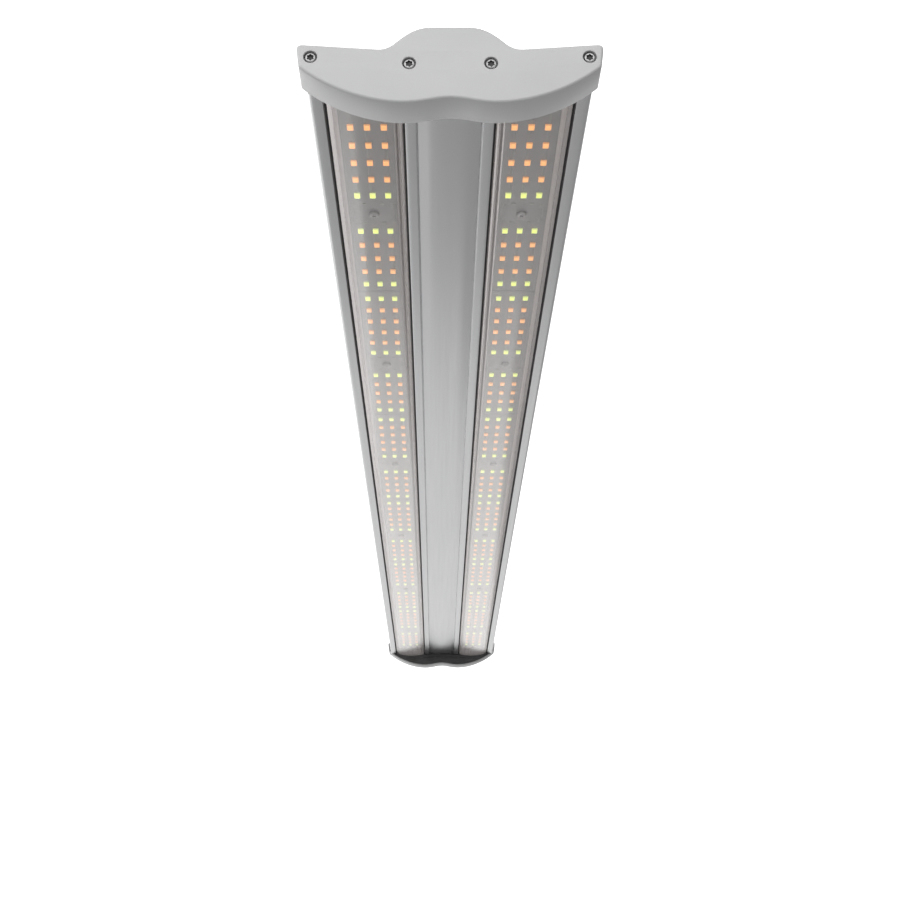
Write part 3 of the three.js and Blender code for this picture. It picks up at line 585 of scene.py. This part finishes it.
def cover_outline():
    """A clear cover on the +X side: lens with rounded edges, two legs and their hooks."""
    outside = [(20.05, 13)]
    outside += quadratic((20.05, 13), (35.6, 9), (51.1, 13.8), 30)
    outside += [(51.1, 16.65), (52.05, 16.65), (52.05, 17.9), (49.6, 17.9), (49.6, 15.1)]
    inside = quadratic((49.6, 15.1), (35.475, 10.95), (22.8, 14.3), 28)
    inside += [(22.8, 17.9), (19.05, 17.9), (19.05, 16.65), (21.5, 16.65), (21.5, 14.3), (20.05, 14.3)]
    return rounded(outside + inside, 0.75, 5, 40.0)


# ---------------------------------------------------------------- the bar

def make_housing(material, channel):
    """The extrusion; the walls of its LED channels get a material with the LEDs' light painted on."""
    holes = [mirrored(DUCT_HALF)] + [circle(x, z, 1.5, 20) for x, z in SCREW_PLACES]
    piece = bar("housing_profile", housing_outline(), BAR_LOW, BAR_HIGH, holes, 30.0)
    settle(piece, "bar", "anodised_aluminium", [material, channel], "housing")
    for face in piece.data.polygons:
        across, up = abs(face.center.x) / MM, face.center.z / MM
        side_wall = abs(face.normal.y) < 0.5
        in_channel = 18.7 < across < 52.5 and 14.9 < up < 22.0
        # material 1, on the channel walls, paints the LEDs' light on them
        face.material_index = int(side_wall and in_channel and face.normal.z < 0.1)


def make_channels(cover, edge, rubber):
    """The covers, whose legs and thick edges get a pale material with the LEDs' light painted on, and
    the strips that seal them.
    """
    inner = [(19.05, 13.1), (19.8, 13.1), (19.8, 14.75), (19.05, 14.75)]
    outer = [(51.2, 14.2), (52.1, 14.2), (52.1, 15.15), (51.2, 15.15)]
    for side_name, side in (("left", -1), ("right", 1)):
        lens = [(side * x, z) for x, z in cover_outline()]
        piece = bar(f"lens_{side_name}", lens, BAR_LOW, BAR_HIGH, angle=45.0)
        settle(piece, "bar", "clear_cover", [cover, edge], f"cover_{side_name}")
        for face in piece.data.polygons:
            middle = abs(face.center.x) / MM
            leg = face.center.z / MM > 14.0 and not 23.5 < middle < 49.0
            # material 1 on the legs and thick edges paints the LEDs' light carried in them
            face.material_index = int(leg or not 21.0 < middle < 49.4)
        for place, outline in (("inner", inner), ("outer", outer)):
            strip = [(side * x, z) for x, z in rounded(outline, 0.2, 3)]
            piece = bar(f"seal_strip_{side_name}_{place}", strip, BAR_LOW, BAR_HIGH)
            settle(piece, "bar", "black_rubber", [rubber], f"seal_{side_name}_{place}")


# ---------------------------------------------------------------- LED boards

def rows_of_board():
    """Each row's place along its board and whether it is a lime row."""
    rows = []
    for i in range(ROWS):
        extra = 0 if i < ROWS_BEFORE_SCREW else SCREW_GAP - ROW_PITCH
        lime = i in (0, ROWS_BEFORE_SCREW - 1, ROWS_BEFORE_SCREW, ROWS - 1)
        rows.append((FIRST_ROW + i * ROW_PITCH + extra, lime))
    return rows


def box_rings(build, x, y, half_x, half_y, levels, corner):
    """Closed loops of a rounded rectangle, one for each (z, shrink) level."""
    rings = []
    for z, shrink in levels:
        hx, hy = half_x - shrink, half_y - shrink
        flat = [(x - hx, y - hy), (x + hx, y - hy), (x + hx, y + hy), (x - hx, y + hy)]
        rings.append(build.level(rounded(flat, max(0.05, corner - shrink * 0.5), 3), z))
    build.strip(rings)
    return rings


def add_led(build, x, y, face_z, lime):
    """One package: a pale translucent frame with a shallow well, and the tinted silicone in it."""
    build.material = 4 if lime else 2
    top = face_z - LED_HEIGHT
    levels = [(face_z, 0.0), (top + 0.12, 0.0), (top, 0.12), (top, 0.25), (top + 0.08, 0.32)]
    rings = box_rings(build, x, y, LED_HALF_WIDTH, LED_HALF_LENGTH, levels, 0.15)
    build.cap(rings[0])
    build.material = 5 if lime else 3
    build.cap(rings[-1])


def add_plate(build, length, screw_y, face_z):
    """The board itself, with rounded corners and its screw hole."""
    build.material = 0
    back = face_z + BOARD_THICKNESS
    wide, start, end = BOARD_HALF_WIDTH, 0.25, length - 0.25
    flat = rounded([(-wide, start), (wide, start), (wide, end), (-wide, end)], 0.8, 4)
    hole = circle(0, screw_y, 1.6, 24)
    outer = [build.level(o, z) for o, z in
             ((flat, back), (flat, face_z + 0.15), (inset(flat, 0.15), face_z))]
    inner = [build.level(hole, z) for z in (back, face_z)]
    build.strip(outer)
    build.strip(inner)
    build.cap(outer[0], [inner[0]])
    build.cap(outer[-1], [inner[1]])


def add_slab(build, x, y, half_x, half_y, face_z, height, material, corner=0.1):
    """A thin raised patch on a board: a trace, a pad or a blob of solder."""
    build.material = material
    levels = [(face_z + 0.05, 0.0), (face_z - height * 0.6, 0.0), (face_z - height, min(0.06, height))]
    rings = box_rings(build, x, y, half_x, half_y, levels, corner)
    build.cap(rings[0])
    build.cap(rings[-1])


def make_board(name, side, start, length, materials, node):
    """A board with its LED packages, the traces between them and the pads by its screw."""
    face_z = BOARD_FACE_Z
    build = Builder()
    rows = rows_of_board()
    screw_y = rows[ROWS_BEFORE_SCREW - 1][0] + SCREW_GAP / 2
    add_plate(build, length, screw_y, face_z)
    columns = [(k - 1) * COLUMN_PITCH for k in range(3)]
    for (y, lime), (y_next, _) in zip(rows, rows[1:] + [(length, False)]):
        for k, x in enumerate(columns):
            add_led(build, x, y, face_z, lime)
            if y_next < length and abs(y_next - y - ROW_PITCH) < 0.01:
                bend = 0.55 if k != 1 else -0.55
                reach = ROW_PITCH / 2 - LED_HALF_LENGTH
                add_slab(build, x + bend, (y + y_next) / 2, 0.55, reach, face_z, 0.035, 1)
    for across in (-9.2, 9.2):
        for along in (-7.5, 7.5):
            add_slab(build, across, screw_y + along, 1.3, 2.0, face_z, 0.04, 1, 0.3)
        add_slab(build, across * 1.12, screw_y, 0.5, 5.2, face_z, 0.035, 1)
    for across in (-4.2, 4.2):
        add_slab(build, across, screw_y - 9.5, 0.9, 0.55, face_z, 0.25, 6, 0.1)
        add_slab(build, across, screw_y + 9.5, 0.9, 0.55, face_z, 0.25, 6, 0.1)
    for end in (3.0, length - 3.0):
        for across in (-8.4, 0.0, 8.4):
            add_slab(build, across, end, 1.5, 1.1, face_z, 0.05, 1, 0.3)
    piece = build.done(name, 30.0)
    piece.data.transform(Matrix.Translation((side * BOARD_X * MM, start * MM, 0)))
    settle(piece, "bar", "led_board", materials, node)


def make_boards(materials):
    for side_name, side in (("left", -1), ("right", 1)):
        for i in range(1, 7):
            low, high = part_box(f"led_board_{side_name}_{i}")
            start, length = low.y / MM - 0.25, (high.y - low.y) / MM + 0.5
            make_board(f"board_{side_name}_{i}", side, start, length, materials,
                       f"led_board_{side_name}_{i}")


# ---------------------------------------------------------------- screws

def screw_turns():
    """The angles at which every ring of a screw has its points."""
    return [2 * math.pi * i / SCREW_STEPS for i in range(SCREW_STEPS)]


def lobes(radius, depth, count, turns):
    """Radius of a star drive at each turn."""
    return [radius - depth * (0.5 - 0.5 * math.cos(count * t)) for t in turns]


def turned_screw(name, rings, dark_rings):
    """A screw from rings of (distance, radii) along its axis; radii is a number or one per step.

    The first rings are the drive recess, whose inside gets a dark material as painted shade."""
    turns = screw_turns()
    build = Builder()
    loops = []
    for distance, radii in rings:
        wide = radii if isinstance(radii, list) else [radii] * SCREW_STEPS
        loops.append(build.loop([(r * math.cos(t), distance, r * math.sin(t))
                                 for r, t in zip(wide, turns)]))
    # material 1 is painted shade inside the drive recess
    build.material = 1
    build.strip(loops[:dark_rings])
    build.cap(loops[0])
    build.material = 0
    build.strip(loops[dark_rings - 1:])
    build.cap(loops[-1])
    return build.done(name, 32.0)


def thread(start, end, radius, pitch, depth):
    """Rings of a shank with shallow thread grooves."""
    rings = []
    count = int((end - start) / pitch)
    for i in range(count):
        y = start + i * pitch
        rings += [(y, radius), (y + pitch * 0.25, radius), (y + pitch * 0.6, radius - depth)]
    return rings


def cap_screw_rings():
    """A pan head with a star drive, then a threaded shank; distances run from the cap's face inwards."""
    turns = screw_turns()
    star = lobes(1.5, 0.34, 6, turns)
    base = 1.85
    return [
        (1.35, [r * 0.7 for r in star]), (1.25, [r * 0.94 for r in star]), (0.46, star),
        (0.4, [r + 0.08 for r in star]), (0.36, 1.7), (0.4, 1.85), (0.52, 2.05), (0.74, 2.25),
        (1.0, 2.34), (base - 0.15, 2.35), (base, 2.25), (base, 1.2),
        *thread(base + 6, base + 23.5, 1.2, 0.8, 0.22), (base + 25, 0.55),
    ]


def make_cap_screws(material, recess):
    for end, face, inward in (("front", FRONT_FACE, 1), ("rear", REAR_FACE, -1)):
        for i, (x, z) in enumerate(SCREW_PLACES, 1):
            piece = turned_screw(f"star_screw_{end}_{i}", cap_screw_rings(), 3)
            turn = Matrix.Rotation(0 if inward > 0 else math.pi, 4, "Z")
            spin = Matrix.Rotation(0.35 + 1.1 * i, 4, "Y")
            piece.data.transform(Matrix.Translation((x * MM, face * MM, z * MM)) @ turn @ spin)
            settle(piece, "bar", "screw_steel", [material, recess], f"cap_screw_{end}_{i}")


def make_board_screws(material, recess):
    """Small pan heads with a cross recess that hold the boards to the housing."""
    turns = screw_turns()
    cross = lobes(1.15, 0.75, 4, turns)
    rings = [
        (0.85, [r * 0.45 for r in cross]), (0.2, cross), (0.12, [r + 0.07 for r in cross]),
        (0.06, 1.5), (0.1, 1.9), (0.3, 2.2), (0.6, 2.4), (1.1, 2.5), (1.42, 2.5), (1.5, 2.4),
        (1.5, 1.2), *thread(2.2, 4.4, 1.2, 0.5, 0.15), (4.75, 0.7),
    ]
    for side_name in ("left", "right"):
        for i in range(1, 7):
            low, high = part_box(f"board_screw_{side_name}_{i}")
            middle = (low + high) / 2
            piece = turned_screw(f"pan_screw_{side_name}_{i}", rings, 2)
            place = Matrix.Translation((middle.x, middle.y, low.z))
            turn = Matrix.Rotation(math.pi / 2, 4, "X") @ Matrix.Rotation(0.9 * i, 4, "Y")
            piece.data.transform(place @ turn)
            settle(piece, "bar", "screw_steel", [material, recess],
                   f"board_screw_{side_name}_{i}")


# ---------------------------------------------------------------- end caps

def make_end_cap(name, face, inward, openings, material, node):
    """A cast cap: soft front edge, counterbored face, rim, gasket pocket and hollow with bosses."""
    outline = cap_outline()
    build = Builder()
    soft = 1.2

    def ring(distance_in, depth):
        return build.section(inset(outline, distance_in), face + inward * depth)

    edge = []
    for i in range(7):
        turn = math.pi / 2 * i / 6
        edge.append(ring(soft * (1 - math.sin(turn)), soft * (1 - math.cos(turn))))
    rim = [ring(0.0, CAP_DEPTH - 0.35), ring(0.1, CAP_DEPTH - 0.1), ring(0.35, CAP_DEPTH),
           ring(1.05, CAP_DEPTH), ring(1.3, CAP_DEPTH - 0.25), ring(1.3, CAP_DEPTH - 3.4),
           ring(3.4, CAP_DEPTH - 3.4), ring(3.4, 3.4), ring(3.8, 3.0)]
    build.strip(edge + rim)
    outside, inside = [], []
    for x, z in SCREW_PLACES:
        def disc(radius, depth, x=x, z=z):
            return build.section(circle(x, z, radius, 36), face + inward * depth)
        boss_end = CAP_DEPTH - 3.4
        bore = [disc(2.98, 0), disc(2.8, 0.18), disc(2.8, 2.1), disc(1.5, 2.1), disc(1.5, boss_end),
                disc(2.1, boss_end), disc(2.1, 3.0)]
        build.strip(bore)
        outside.append(bore[0])
        inside.append(bore[-1])
    for x, z, radius in openings:
        hole = [build.section(circle(x, z, radius, 40), face + inward * depth) for depth in (0, 3.0)]
        build.strip(hole)
        outside.append(hole[0])
        inside.append(hole[1])
    build.cap(edge[0], outside)
    build.cap(rim[-1], inside)
    piece = build.done(name, 35.0)
    settle(piece, "bar", "cap_grey", [material], node)


def envelope_outline():
    """The body's lower envelope, which the gasket's ribs follow."""
    half = [(0, 13), (9.4, 13), (14.1, 12.3), (20.05, 12.3)]
    half += quadratic((20.05, 12.3), (35.475, 9), (50.9, 13.6), 14)
    half += [(58.2, 13.6), (58.2, 24), (0, 24)]
    return mirrored(half)


def make_gasket(name, face, inward, material, node):
    """A moulded plate in the cap's mouth with two raised ribs below the body."""
    plate_outline = inset(cap_outline(), 1.32)
    build = Builder()

    def ring(outline, depth):
        return build.section(outline, face + inward * depth)

    back, front = CAP_DEPTH - 3.15, CAP_DEPTH - 0.25
    outer = [ring(plate_outline, back), ring(plate_outline, front - 0.3),
             ring(inset(plate_outline, 0.3), front)]
    build.strip(outer)
    holes = [[(-10.5, 16.5), (10.5, 16.5), (10.5, 25.5), (-10.5, 25.5)]]
    holes += [[(x - 2.5, 13.9), (x + 2.5, 13.9), (x + 2.5, 18.2), (x - 2.5, 18.2)] for x in (-30, 30)]
    walls = [rounded(h, 0.8, 4) for h in holes] + [circle(x, z, 1.5, 20) for x, z in SCREW_PLACES]
    starts, ends = [], []
    for wall in walls:
        pair = [ring(wall, back), ring(wall, front)]
        build.strip(pair)
        starts.append(pair[0])
        ends.append(pair[1])
    build.cap(outer[0], starts)
    build.cap(outer[-1], ends)
    add_rib(build, face, inward, front, 0.35, 1.2, 1.5)
    add_rib(build, face, inward, front, 3.4, 0.8, 0.7)
    piece = build.done(name, 35.0)
    settle(piece, "bar", "black_rubber", [material], node)


def add_rib(build, face, inward, front, outset, width, height):
    """A raised bead that follows the underside of the body, from one tip to the other."""
    near = [p for p in inset(envelope_outline(), -outset) if p[1] < 14.6 and abs(p[0]) < 56.5]
    far = [p for p in inset(envelope_outline(), -outset - width) if p[1] < 14.6 and abs(p[0]) < 56.5]
    count = min(len(near), len(far))
    near = sorted(near)[:count]
    far = sorted(far)[:count]
    keep = [i for i in range(count) if far[i][1] > lowest_of_plate(far[i][0])]
    near = [near[i] for i in keep]
    far = [far[i] for i in keep]
    loop = far + list(reversed(near))
    levels = [(front - 0.2, 0.0), (front + height - 0.3, 0.0), (front + height, 0.25)]
    rings = [build.section(inset(loop, shrink), face + inward * depth) for depth, shrink in levels]
    build.strip(rings)
    build.cap(rings[0])
    build.cap(rings[-1])


def lowest_of_plate(x):
    """How low a rib may reach at one place across the gasket."""
    outline = [p for p in inset(cap_outline(), 2.2) if p[1] < 20]
    return min(outline, key=lambda p: abs(p[0] - x))[1]


def make_caps(coat, rubber):
    ends = (("front", FRONT_FACE, 1, []),
            ("rear", REAR_FACE, -1, [(0, 19, 6.05), (34, 13, 3.05)]))
    for end, face, inward, openings in ends:
        make_end_cap(f"cap_{end}", face, inward, openings, coat, f"end_cap_{end}")
        make_gasket(f"mouth_gasket_{end}", face, inward, rubber, f"end_gasket_{end}")


# ---------------------------------------------------------------- rear fittings, drivers, leads

def make_fittings(plastic, white_case):
    """The inlet with its ring nut, the vent and the two drivers."""
    fittings = (("inlet_connector", "power_inlet", 0.22), ("inlet_ring_nut", "inlet_nut", 0.35),
                ("vent_button", "vent_plug", 0.3))
    for name, node, width in fittings:
        settle(refined(name, node, width, 3), "bar", "black_plastic", [plastic], node)
    for end in ("front", "rear"):
        node = f"driver_{end}"
        case = refined(f"driver_case_{end}", node, 0.4, 3)
        settle(case, "bar", "driver_case", [white_case], node)


def make_leads(jacket):
    """The leads from the inlet to the drivers, between them, and to each row of boards."""
    front_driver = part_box("driver_front")
    rear_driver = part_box("driver_rear")
    board_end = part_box("led_board_left_1")[0].y / MM
    start = front_driver[0].y / MM
    for side_name, side in (("left", -1), ("right", 1)):
        route = [(side * 30, board_end + 4, 17.1), (side * 30, BAR_LOW + 4, 16.2),
                 (side * 30, BAR_LOW - 3.5, 15.8), (side * 27, BAR_LOW - 8, 11.5),
                 (side * 19, BAR_LOW - 8.6, 8.8), (side * 10, BAR_LOW - 7.8, 12),
                 (side * 6.5, BAR_LOW - 4, 19), (side * 6.5, BAR_LOW + 8, 21.4),
                 (side * 6.5, start, 21.6)]
        piece = round_wire(f"board_wire_{side_name}", through(route, 8), 1.1)
        settle(piece, "bar", "lead_jacket", [jacket], f"board_lead_{side_name}")
    link_start, link_end = front_driver[1].y / MM, rear_driver[0].y / MM
    half_way = (link_start + link_end) / 2
    route = [(-5, link_start, 21.5), (-5, link_start + 8, 21.5), (0, half_way, 19.5),
             (5, link_end - 8, 21.5), (5, link_end, 21.5)]
    link = round_wire("link_wire", through(route, 8), 1.1)
    settle(link, "bar", "lead_jacket", [jacket], "driver_link_lead")
    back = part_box("inlet_lead")[1].y / MM
    route = [(0, back, 19), (0, BAR_HIGH - 2, 19.4), (0, BAR_HIGH - 14, 21.2),
             (0, rear_driver[1].y / MM + 0.25, 21.5)]
    inlet = round_wire("inlet_wire", through(route, 8), 2.2)
    settle(inlet, "bar", "lead_jacket", [jacket], "inlet_lead")


# ---------------------------------------------------------------- hangers

def bail_points(y, fold):
    """The bail's centre line, folded down along the bar with its crown just above the hump."""
    wide, crown, tall, bend, pivot = 17.0, 8.0, 48.0, 3.0, BAIL_PIVOT_Z
    drop = math.asin((pivot - HUMP_TOP_Z - BAIL_WIRE - 0.5) / tall)
    lean = Vector((crown - wide, tall - crown)).normalized()
    half = [(10.0, 0.0), (wide - bend, 0.0)]
    half += quadratic((wide - bend, 0), (wide, 0), (wide + lean.x * bend, lean.y * bend), 8)
    half += [(crown, tall - crown)]
    kappa = 0.5523 * crown
    half += cubic((crown, tall - crown), (crown, tall - crown + kappa), (kappa, tall), (0, tall), 12)
    flat = half + [(-x, z) for x, z in reversed(half[:-1])]
    return [(x, y + fold * s * math.cos(drop), pivot - s * math.sin(drop)) for x, s in flat]


def make_hangers(steel):
    """Each hanger's bracket, T-nut stud, nut and wire bail."""
    for end, side in (("front", -1), ("rear", 1)):
        y, fold = BAR_MIDDLE + side * HANGER_REACH, -side
        body = f"hanger_{end}"
        for part, width in (("bracket", 0.3), ("stud", 0.25), ("nut", 0.3)):
            node = f"hanger_{part}_{end}"
            settle(refined(f"{part}_{end}", node, width, 3), body, "stainless_steel", [steel], node)
        piece = round_wire(f"bail_wire_{end}", bail_points(y, fold), BAIL_WIRE)
        settle(piece, f"bail_{end}", "stainless_steel", [steel], f"hanger_bail_{end}")


# ---------------------------------------------------------------- stage

def make_camera():
    """A long lens below the front end, looking along the bar and up at its LEDs."""
    pitch, yaw, roll = 0.3282, 0.0102, -0.0061
    ahead = Vector((math.sin(yaw) * math.cos(pitch), math.cos(yaw) * math.cos(pitch), math.sin(pitch)))
    right = Vector((math.cos(yaw), -math.sin(yaw), 0))
    up = right.cross(ahead)
    data = bpy.data.cameras.new("camera")
    data.lens = 60
    data.sensor_width = 36
    data.clip_start = 0.05
    camera = bpy.data.objects.new("camera", data)
    turned_right = right * math.cos(roll) + up * math.sin(roll)
    turned_up = up * math.cos(roll) - right * math.sin(roll)
    axes = Matrix((turned_right, turned_up, -ahead)).transposed()
    camera.matrix_world = Matrix.Translation((-0.0063, -1.1278, -0.3213)) @ axes.to_4x4()
    bpy.context.scene.collection.objects.link(camera)
    bpy.context.scene.camera = camera


def make_floor():
    """A pale floor far enough below that the light can be looked at from underneath."""
    far, height = 40000, -2400
    build = Builder()
    top = build.level([(-far, -far), (far, -far), (far, far), (-far, far)], height)
    build.cap(top)
    floor = build.done("floor")
    floor.data.materials.append(pale_floor())


def add_softbox(name, place, aim, size, watts, mirrored=True):
    """A large soft lamp that isn't seen itself; the metal may mirror it."""
    lamp = bpy.data.lights.new(name, "AREA")
    lamp.shape = "RECTANGLE"
    lamp.size, lamp.size_y = size
    lamp.energy = watts
    holder = bpy.data.objects.new(name, lamp)
    holder.location = place
    holder.rotation_euler = Vector(aim).to_track_quat("-Z", "Y").to_euler()
    holder.visible_camera = False
    holder.visible_glossy = mirrored
    bpy.context.scene.collection.objects.link(holder)


def make_light():
    """A white studio, dimmer overhead and on the right, with lamps in front, beyond and at the left."""
    world = bpy.data.worlds.new("studio")
    world.use_nodes = True
    bpy.context.scene.world = world
    tree = world.node_tree
    background = tree.nodes["Background"]
    places = tree.nodes.new("ShaderNodeTexCoord")
    split = tree.nodes.new("ShaderNodeSeparateXYZ")
    tree.links.new(places.outputs["Generated"], split.inputs["Vector"])

    def ramp(source, stops):
        node = tree.nodes.new("ShaderNodeValToRGB")
        node.color_ramp.interpolation = "EASE"
        for element, (place, tone) in zip(node.color_ramp.elements, stops):
            element.position = place
            element.color = (tone, tone, tone, 1)
        tree.links.new(source, node.inputs["Fac"])
        return node.outputs["Color"]

    def mixed(kind, first, second, factor=None):
        node = tree.nodes.new("ShaderNodeMix")
        node.data_type = "RGBA"
        node.blend_type = kind
        node.inputs["Factor"].default_value = 1.0
        if factor is not None:
            tree.links.new(factor, node.inputs["Factor"])
        tree.links.new(first, node.inputs[6])
        tree.links.new(second, node.inputs[7])
        return node.outputs[2]

    overhead = ramp(split.outputs["Z"], [(0.6, 1.2), (0.85, 0.35)])
    shift = tree.nodes.new("ShaderNodeMath")
    shift.operation = "MULTIPLY_ADD"
    shift.inputs[1].default_value = 0.5
    shift.inputs[2].default_value = 0.5
    tree.links.new(split.outputs["X"], shift.inputs[0])
    sides = ramp(shift.outputs["Value"], [(0.66, 1.3), (0.8, 0.35)])
    low_sides = ramp(shift.outputs["Value"], [(0.35, 1.6), (0.62, 0.6)])
    below = tree.nodes.new("ShaderNodeMapRange")
    below.inputs["From Min"].default_value = 0.03
    below.inputs["From Max"].default_value = -0.08
    tree.links.new(split.outputs["Z"], below.inputs["Value"])
    across = mixed("MIX", sides, low_sides, below.outputs["Result"])
    tree.links.new(mixed("MULTIPLY", overhead, across), background.inputs["Color"])
    add_softbox("key", (-1.2, -4.0, 2.2), (1.2, 4.0, -2.2), (4.0, 3.0), 106, False)
    add_softbox("far_card", (-0.15, 4.5, -1.25), (0, -1, 0), (1.7, 1.9), 6.4)
    add_softbox("left_card", (-1.72, 3.0, -1.2), (0, -1, 0), (2.1, 1.8), 12.5)
    add_softbox("left_side", (-3.0, 2.2, -0.2), (1, -0.8, 0), (2.4, 1.8), 16)
    bpy.context.scene.view_settings.view_transform = "Standard"


make_camera()
make_light()
make_floor()
metal = anodised_aluminium()
rubber = black_rubber()
coat = powder_coat()
screw_steel = brushed_steel("screw_steel", 0.4, 0.5, 0.26)
dull_steel = brushed_steel("dull_steel", 0.3, 0.38, 0.35)
# painted shade: a near-black material for the inside of the screws' drive recesses
recess = moulded_plastic("recess_painted_shade", (0.02, 0.02, 0.02), (0.05, 0.05, 0.05), 0.5)
make_housing(metal, lit_channel())
make_channels(clear_cover(), cover_edge(), rubber)
make_boards([
    solder_mask(), trace_mask(),
    glowing("amber_frame", (0.74, 0.4, 0.18), (0.8, 0.46, 0.22), (1.0, 0.42, 0.12), 0.6),
    glowing("amber_silicone", (0.75, 0.34, 0.1), (0.82, 0.4, 0.13), (1.0, 0.42, 0.08), 1.0),
    glowing("lime_frame", (0.74, 0.76, 0.36), (0.8, 0.82, 0.42), (0.88, 1.0, 0.26), 0.7),
    glowing("lime_silicone", (0.7, 0.76, 0.16), (0.76, 0.82, 0.2), (0.86, 1.0, 0.12), 1.0),
    solder(),
])
make_board_screws(dull_steel, recess)
make_caps(coat, gasket_rubber())
make_cap_screws(screw_steel, recess)
make_fittings(moulded_plastic("black_plastic", (0.016, 0.016, 0.018), (0.026, 0.026, 0.028), 0.42),
              moulded_plastic("driver_case", (0.66, 0.66, 0.64), (0.71, 0.71, 0.69), 0.5))
make_leads(moulded_plastic("lead_jacket", (0.62, 0.62, 0.6), (0.68, 0.68, 0.66), 0.45))
make_hangers(brushed_steel("stainless_steel", 0.5, 0.6, 0.3))
